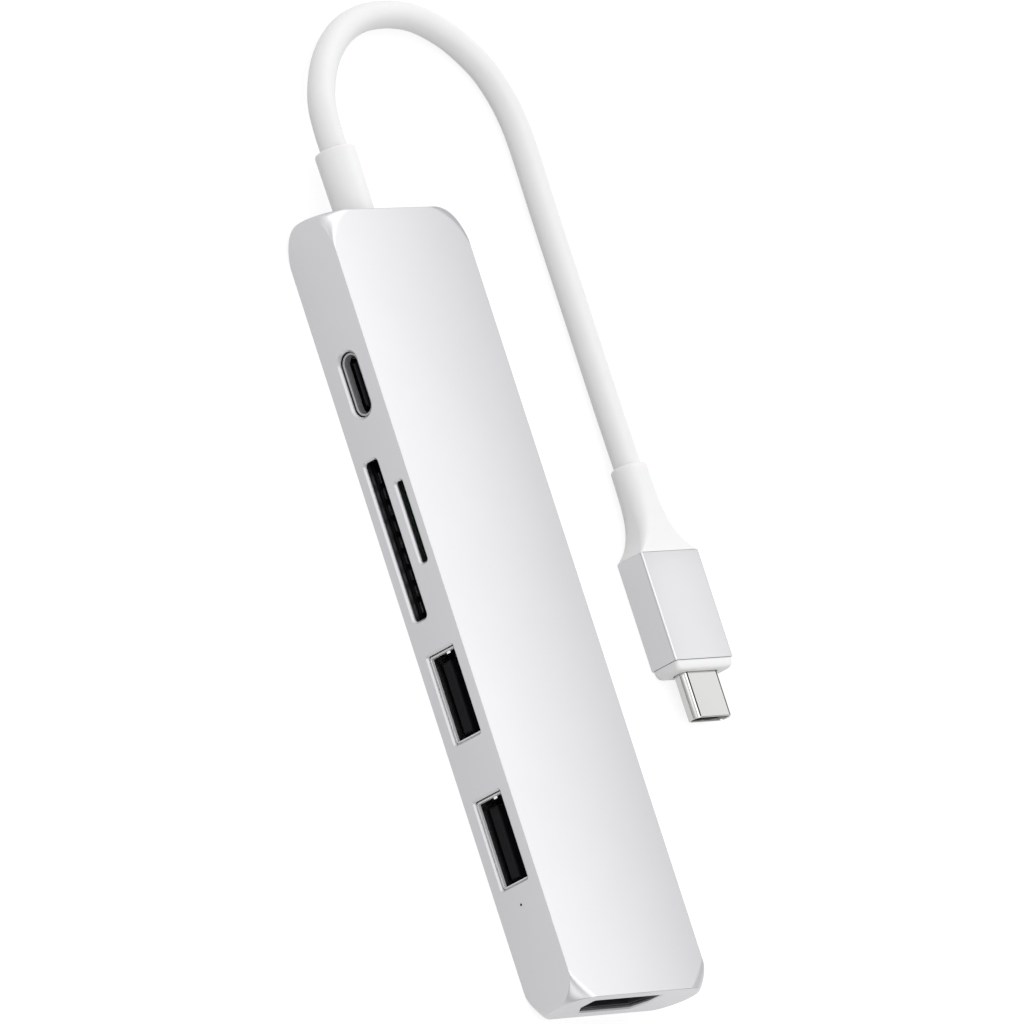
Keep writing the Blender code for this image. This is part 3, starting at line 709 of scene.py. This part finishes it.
def open_holes(body):
    """The lamp's pinhole, wider behind the face, and the cord's way out."""
    step_x = PORT_X + 0.55
    profile = [
        (PORT_X - 1, PINHOLE_R),
        (step_x, PINHOLE_R),
        (step_x, PINHOLE_BACK_R),
        (PORT_X + 4, PINHOLE_BACK_R),
    ]
    pinhole = lathe("pinhole", profile, "x", (LED_Y, LED_Z), 24)
    hole = circle(SLEEVE_D / 2 + 0.06, 64)
    way_out = mouth_cutter("way_out", hole, 0.08, "y", CORD_Y, (EXIT_X, MID_Z))
    cut(body, pinhole, way_out)


def housing():
    body = hub_form("housing_shell")
    hollow_out(body)
    open_mouths(body)
    open_holes(body)
    smooth(body, SHARP_METAL)
    even_shading(body)
    dress(body, "housing", replaces=("housing",))
    # The mouths' own walls, from the chamfer to the inner face
    finish_or_painted_shade(body, CUT_WALL, "x", PORT_X + 0.28, PORT_X + 0.52, PORT_ROW)


def cover():
    """The inset bottom plate, with a small rounded lower edge."""
    play = 0.2
    half_x = HUB_W / 2 - COVER_WALL - play
    half_y = HUB_L / 2 - COVER_WALL - play
    rings = []
    for at, inset in ((0.0, 0.15), (0.04, 0.06), (0.15, 0.0), (COVER_T, 0.0)):
        ring = cornered(half_x - inset, half_y - inset, 4.25)
        rings.append(place(ring, "z", at, MIDDLE))
    item = loft("cover_plate", rings, sharp=SHARP_SHELL)
    even_shading(item)
    dress(item, "cover", replaces=("bottom_cover",))


# ---------------------------------------------------------------- ports


def rolled_shell(name, outer, wall, axis, front, back, inner_end, centre, lit=0.0):
    """A drawn steel shell with a rounded front lip and a closed back. Its inside
    ends at inner_end; lit is how far in a ring of edges lets a finish end."""
    inward = 1 if back > front else -1
    inner = grown(outer, -wall)
    rings = [place(outer, axis, back, centre)]
    steps = 8
    for step in range(steps + 1):
        turn = math.pi * step / steps
        ring = grown(outer, -wall / 2 * (1 - math.cos(turn)))
        at = front + inward * wall / 2 * (1 - math.sin(turn))
        rings.append(place(ring, axis, at, centre))
    if lit:
        rings.append(place(inner, axis, front + inward * lit, centre))
    rings.append(place(inner, axis, inner_end, centre))
    return loft(name, rings, sharp=SHARP_SHELL)


def blade_holder(name, size, corner, eased, back, centre):
    """A tongue with its front edges eased: eased has places and how far in."""
    rings = []
    for at, inset in (*eased, (back, 0.0)):
        ring = rounded(size[0] - 2 * inset, size[1] - 2 * inset, corner, 3)
        rings.append(place(ring, "x", at, centre))
    return loft(name, rings)


def usb_a_port(number, y):
    front, back = PORT_X + CAN_FRONT, USB_A_BACK_X
    shell = rolled_shell(
        f"usb_a_{number}_can",
        rounded(*USB_A_CAN),
        USB_A_SHEET,
        "x",
        front,
        back,
        back - CAN_END_T,
        (y, USB_A_Z),
        lit=0.6,
    )
    for side in (-1, 1):
        middle = y + side * 3.0
        window = block(
            "window",
            (front + 5.0, middle - 1.1, USB_A_Z + 1.8),
            (front + 7.5, middle + 1.1, USB_A_Z + 4.0),
        )
        cut(shell, window)
    smooth(shell, SHARP_SHELL)
    dress(shell, "steel", replaces=(f"usb_a_{number}_shell",))
    finish_or_painted_shade(shell, CUT_WALL, "x", front - 0.1, front + 0.5)
    name = f"usb_a_{number}_blade_holder"
    eased = ((front + 1.6, 0.25), (front + 1.75, 0.08), (front + 2.0, 0.0))
    base_x = back - 0.6
    tongue = blade_holder(name, USB_A_TONGUE, 0.15, eased, base_x, (y, USB_A_TONGUE_Z))
    base = block(
        "base",
        (base_x - 3.0, y - 5.9, USB_A_Z - 2.3),
        (base_x, y + 5.9, USB_A_Z + 2.3),
    )
    join(tongue, base)
    smooth(tongue)
    dress(tongue, "black_plastic", replaces=(f"usb_a_{number}_tongue",))
    tab = block(
        f"usb_a_{number}_tab",
        (front + 0.3, y + 6.0, USB_A_Z + 0.5),
        (front + 0.6, y + 6.35, USB_A_Z + 1.2),
    )
    dress(tab, "steel", look=BRIGHT_LIP)


def usb_c_port():
    front, back = PORT_X + CAN_FRONT, USB_C_BACK_X
    centre = (USB_C_Y, USB_C_Z)
    shell = rolled_shell(
        "usb_c_port_can",
        rounded(*USB_C_CAN),
        USB_C_SHEET,
        "x",
        front,
        back,
        back - CAN_END_T,
        centre,
        lit=1.3,
    )
    dress(shell, "steel", replaces=("usb_c_port_shell",), look=BRIGHT_LIP)
    finish_or_painted_shade(shell, THROAT, "x", front - 0.1, front + 1.2)
    name = "usb_c_port_blade_holder"
    eased = ((front + 0.7, 0.2), (front + 0.85, 0.05), (front + 1.05, 0.0))
    base_x = back - 0.6
    tongue = blade_holder(name, USB_C_TONGUE, 0.12, eased, base_x, centre)
    base = prism("base", rounded(7.6, 1.9, 0.6, 4), "x", base_x - 1.4, base_x, centre)
    join(tongue, base)
    smooth(tongue)
    dress(tongue, "black_plastic", replaces=("usb_c_port_tongue",))


def hdmi_port():
    shell = rolled_shell(
        "hdmi_can",
        hdmi_ring(*HDMI_CAN),
        HDMI_SHEET,
        "y",
        HDMI_Y + CAN_FRONT,
        HDMI_BACK_Y,
        HDMI_BACK_Y - CAN_END_T,
        (HDMI_X, HDMI_Z),
    )
    # The whole shell is painted near-black: painted shade for the dark inside of the
    # port.
    dress(shell, "steel", replaces=("hdmi_shell",), look=PAINTED_SHADE_STEEL)


# ---------------------------------------------------------------- plug


def plug_tail():
    """The moulding behind the sleeve, flared from the cord's width to the sleeve's."""
    stations = (
        (PLUG_RING_Y, 5.0, 4.5, 2.2),
        (PLUG_RING_Y - 0.12, 5.4, 4.75, 2.35),
        (PLUG_RING_Y - 0.4, 5.7, 5.0, 2.45),
        (PLUG_BACK_Y + 9.0, 5.7, 4.95, 2.2),
        (PLUG_BACK_Y + 6.0, 6.1, 4.95, 1.9),
        (PLUG_BACK_Y + 4.0, 7.0, 4.95, 1.5),
        (PLUG_BACK_Y + 2.4, 8.5, 4.95, 1.2),
        (PLUG_BACK_Y + 1.1, 10.4, 5.0, 0.8),
        (PLUG_BACK_Y + 0.05, 12.4, 5.1, 0.4),
    )
    edge = 2  # the first rings round the end's edge, and stay as they are
    every = 6
    rings = []
    for at, width, height, corner in stations:
        ring = place(rounded(width, height, corner), "y", at, PLUG_CENTRE)
        rings.append([Vector(point) for point in ring])
    fine = rings[:edge]
    for index in range(edge, len(rings) - 1):
        before = rings[max(index - 1, edge)]
        after = rings[min(index + 2, len(rings) - 1)]
        fours = list(zip(before, rings[index], rings[index + 1], after))
        for step in range(every):
            fine.append([between(*four, step / every) for four in fours])
    fine.append(rings[-1])
    tail = loft("plug_tail", fine, sharp=SHARP_MOULDING)
    dress(tail, "white_plastic", replaces=("plug_strain_relief",))


def plug_sleeve():
    """The aluminium sleeve, open at both ends, with its outer edges eased."""
    outer, inner = rounded(PLUG_W, PLUG_T, 0.3, 5), rounded(10.8, 3.6, 0.3, 5)
    ease, steps = 0.06, 4
    rings = []
    for end, sign in ((PLUG_BACK_Y, 1), (PLUG_FRONT_Y, -1)):
        part = []
        for step in range(steps + 1):
            turn = math.pi / 2 * step / steps
            ring = grown(outer, -ease * (1 - math.sin(turn)))
            at = end - sign * ease * (1 - math.cos(turn))
            part.append(place(ring, "y", at, PLUG_CENTRE))
        rings += part if sign > 0 else part[::-1]
    rings.append(place(inner, "y", PLUG_FRONT_Y, PLUG_CENTRE))
    rings.append(place(inner, "y", PLUG_BACK_Y, PLUG_CENTRE))
    sleeve = loft("plug_sleeve", rings, closed=True, sharp=SHARP_SHELL)
    even_shading(sleeve)
    dress(sleeve, "housing", replaces=("plug_body",))


def plug_collar():
    """The white nose, narrowing in a round shoulder towards the steel tip."""
    start_y, length, steps = PLUG_FRONT_Y - 0.05, 1.45, 8
    rings = []
    for step in range(steps + 1):
        t = step / steps
        width = 12.4 - 1.2 * t**3 - 0.2 * t
        height = 4.95 - 0.9 * t**3 - 0.15 * t
        ring = rounded(width, height, 0.5 + 0.4 * t, 6)
        at = start_y - length * math.sin(math.pi / 2 * t)
        rings.append(place(ring, "y", at, PLUG_CENTRE))
    collar = loft("plug_collar", rings, sharp=SHARP_MOULDING)
    play = 0.3
    hole = rounded(TIP_W + play, TIP_T + play, 1.3, 10)
    cut(collar, prism("hole", hole, "y", PLUG_FRONT_Y + 1, TIP_Y, PLUG_CENTRE))
    smooth(collar, SHARP_MOULDING)
    dress(collar, "white_plastic", replaces=("plug_nose",))


def plug_tip():
    """The steel tip, with a fine seam pressed in along each side of its top; the seams
    are painted near-black, a painted reflection standing for the dark lines there.
    """
    shell = rolled_shell(
        "plug_tip",
        rounded(TIP_W, TIP_T, 1.15, 14),
        0.3,
        "y",
        TIP_Y,
        PLUG_FRONT_Y + 1.6,
        PLUG_FRONT_Y + 1.2,
        PLUG_CENTRE,
    )
    half, depth = 0.08, 0.09
    top = PLUG_Z + TIP_T / 2
    seams = [PLUG_X + side * (TIP_W / 2 - 0.95) for side in (-1, 1)]
    for at in seams:
        low, high = (at - half, TIP_Y + 0.3, top - depth), (at + half, -9.5, top + 1)
        cut(shell, block("seam", low, high))
    smooth(shell, SHARP_SHELL)
    dress(shell, "steel", replaces=("plug_shell",), look=TIP_STEEL)
    # Painted shade: the seams' faces get near-black steel, standing for the dark
    # reflections along the top's edges.
    along = ((TIP_Y + 0.2, -9.0), (top - depth - 0.05, top - depth + 0.085))
    for at in seams:
        finish_or_painted_shade(shell, PAINTED_SHADE_STEEL, "x", at - 0.1, at + 0.1, along)


# ---------------------------------------------------------------- the rest


def dress_frame_nodes():
    """Every CAD piece that stays gets the finish of its own slot."""
    slots = {part["node"]: part["material_slot"] for part in frame["record"]["subparts"]}
    for name, item in frame["nodes"].items():
        look = LOOKS[slots[name]]
        item.data.materials.clear()
        item.data.materials.append(look)
        smooth(item, SHARP_METAL)


def floor():
    """A pale floor that glows a little, a hair under the object, and that throws
    no light back up at it."""
    mesh = bpy.data.meshes.new("floor")
    size = 3.0
    corners = [(-size, -size, 0), (size, -size, 0), (size, size, 0), (-size, size, 0)]
    mesh.from_pydata([Vector(corner) for corner in corners], [], [(0, 1, 2, 3)])
    item = bpy.data.objects.new("floor", mesh)
    item.location.z = -0.00003
    item.visible_diffuse = False
    bpy.context.scene.collection.objects.link(item)
    material, node = shader("pale_floor", (0.30, 0.30, 0.30), 0.0, 0.9)
    node.inputs["Specular IOR Level"].default_value = 0.0
    node.inputs["Emission Color"].default_value = (1.0, 1.0, 1.0, 1.0)
    node.inputs["Emission Strength"].default_value = 0.77
    mesh.materials.append(material)


def lights():
    """A soft sun for the matt pieces, and two panels that the metal reflects: a
    long one beside the hub and a small one close over the plug."""
    soft_sun((0.8, 0.3, 0.5), 0.9)
    lamp("key", (0.055, 0.05, 0.085), (0.07, 0.40), 0.152)
    lamp("plug_strip", (0.054, -0.003, 0.016), (0.02, 0.032), 0.0016)


def studio_world():
    """A pale studio with soft lights in the distance."""
    world = bpy.data.worlds.new("studio")
    world.use_nodes = True
    tree = world.node_tree
    coords = tree.nodes.new("ShaderNodeTexCoord")
    total = tree.nodes.new("ShaderNodeValue")
    total.outputs[0].default_value = ROOM
    for way, tight, strength in GLOWS:
        facing = tree.nodes.new("ShaderNodeVectorMath")
        facing.operation = "DOT_PRODUCT"
        facing.inputs[1].default_value = Vector(way).normalized()
        tree.links.new(coords.outputs["Generated"], facing.inputs[0])
        ahead = tree.nodes.new("ShaderNodeMath")
        ahead.operation = "MAXIMUM"
        ahead.inputs[1].default_value = 0.0
        tree.links.new(facing.outputs["Value"], ahead.inputs[0])
        narrow = tree.nodes.new("ShaderNodeMath")
        narrow.operation = "POWER"
        narrow.inputs[1].default_value = tight
        tree.links.new(ahead.outputs["Value"], narrow.inputs[0])
        added = tree.nodes.new("ShaderNodeMath")
        added.operation = "MULTIPLY_ADD"
        added.inputs[1].default_value = strength
        tree.links.new(narrow.outputs["Value"], added.inputs[0])
        tree.links.new(total.outputs[0], added.inputs[2])
        total = added
    back = tree.nodes["Background"]
    back.inputs["Color"].default_value = (1.0, 1.0, 1.0, 1.0)
    tree.links.new(total.outputs[0], back.inputs["Strength"])
    bpy.context.scene.world = world


def soft_sun(direction, strength):
    """A broad light that isn't seen in reflections."""
    data = bpy.data.lights.new("soft_sun", "SUN")
    data.energy = strength
    data.angle = math.radians(70.0)
    item = bpy.data.objects.new("soft_sun", data)
    item.rotation_euler = (-Vector(direction)).to_track_quat("-Z", "Y").to_euler()
    item.visible_camera = False
    item.visible_glossy = False
    bpy.context.scene.collection.objects.link(item)


def lamp(name, at, size, power):
    """A level panel facing down, which only reflections show."""
    data = bpy.data.lights.new(name, "AREA")
    data.shape = "RECTANGLE"
    data.size, data.size_y = size
    data.energy = power
    item = bpy.data.objects.new(name, data)
    item.location = at
    item.visible_camera = False
    item.visible_diffuse = False
    bpy.context.scene.collection.objects.link(item)


camera()
cord_piece, cord_length = cord()
sleeve_piece = hub_sleeve()
housing()
cover()
usb_c_port()
for number, y in enumerate(USB_A_Y, 1):
    usb_a_port(number, y)
hdmi_port()
plug_tail()
plug_sleeve()
plug_collar()
plug_tip()
dress_frame_nodes()
floor()
studio_world()
lights()
bpy.context.scene.view_settings.view_transform = "Standard"
